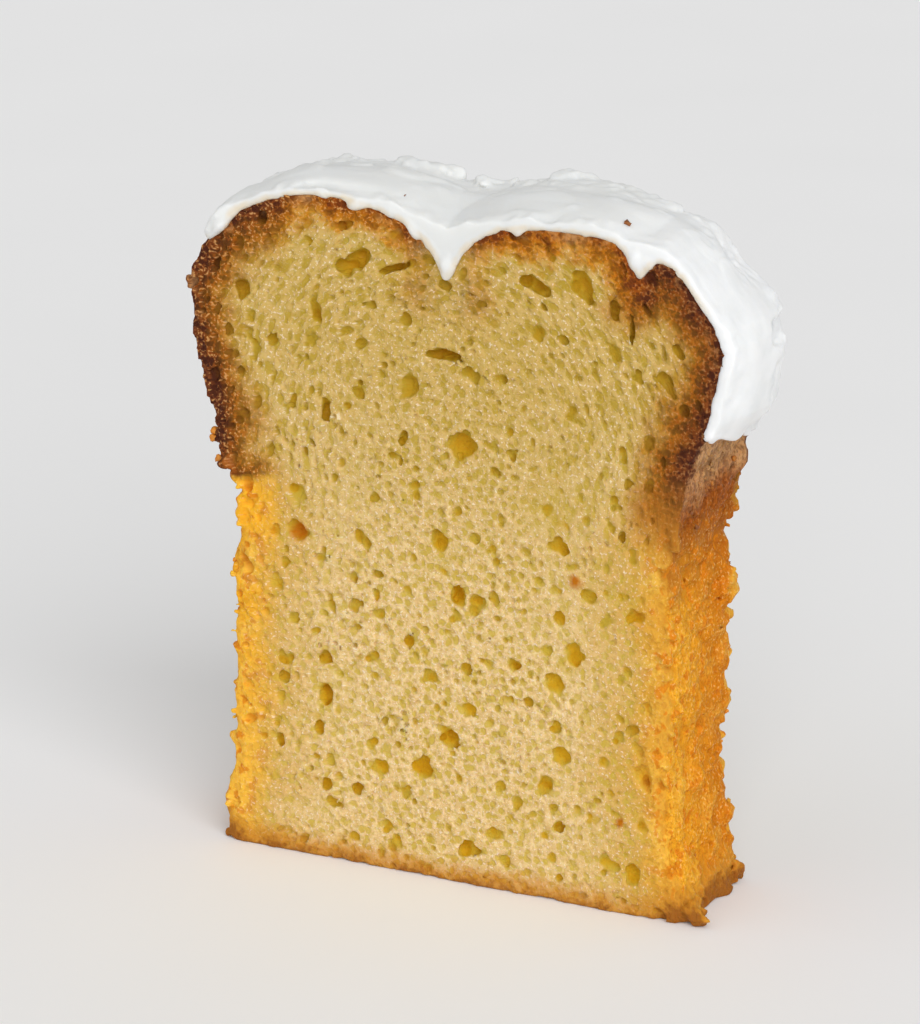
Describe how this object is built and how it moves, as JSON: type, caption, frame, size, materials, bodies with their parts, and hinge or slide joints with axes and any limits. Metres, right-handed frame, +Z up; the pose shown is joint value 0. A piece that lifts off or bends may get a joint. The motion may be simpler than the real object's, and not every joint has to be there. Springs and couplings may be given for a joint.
{
  "type": "slice of iced loaf cake",
  "caption": "Upright slice of yellow loaf cake with a browned, cracked crust and torn orange sides, under a poured white icing that runs down one side; stands on its base.",
  "frame": {"origin": "middle of the slice's box, at the level of its base", "axes": "+Z up, +Y from the shown cut face to the other cut along the loaf's length, +X to the right across the slice as the shown cut is faced"},
  "size_m": [0.0974, 0.023, 0.116],
  "materials": {
    "crumb": "moist yellow crumb with open pores, brown crust above and orange torn sides",
    "icing": "smooth white sugar icing with a soft sheen"
  },
  "bodies": {
    "root": {"cake": "crumb", "icing": "icing"}
  },
  "joints": []
}
